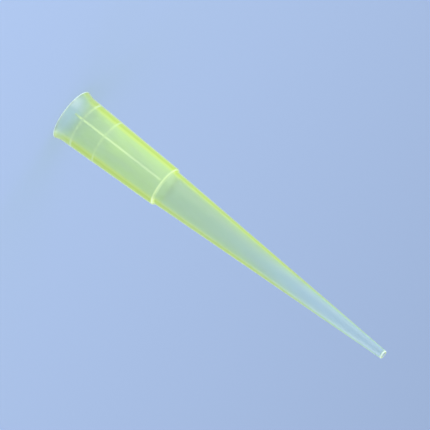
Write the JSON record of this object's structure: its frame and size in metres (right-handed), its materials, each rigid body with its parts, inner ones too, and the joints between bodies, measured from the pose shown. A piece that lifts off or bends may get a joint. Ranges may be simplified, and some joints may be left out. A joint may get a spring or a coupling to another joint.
{
  "type": "pipette tip",
  "caption": "Translucent yellow conical pipette tip with a flared mouth, a stepped nozzle socket, a shouldered collar and a fine orifice.",
  "frame": {"origin": "centre of the mouth rim's plane, on which the tip stands with its point up", "axes": "+Z along the axis from the mouth to the point; the two seam ribs lie in the YZ plane, at -Y and +Y"},
  "size_m": [0.0068, 0.0068, 0.05],
  "materials": {
    "polypropylene": "natural polypropylene tinted lemon yellow, translucent, soft gloss"
  },
  "bodies": {
    "root": {"pipette_tip": "polypropylene"}
  },
  "joints": []
}
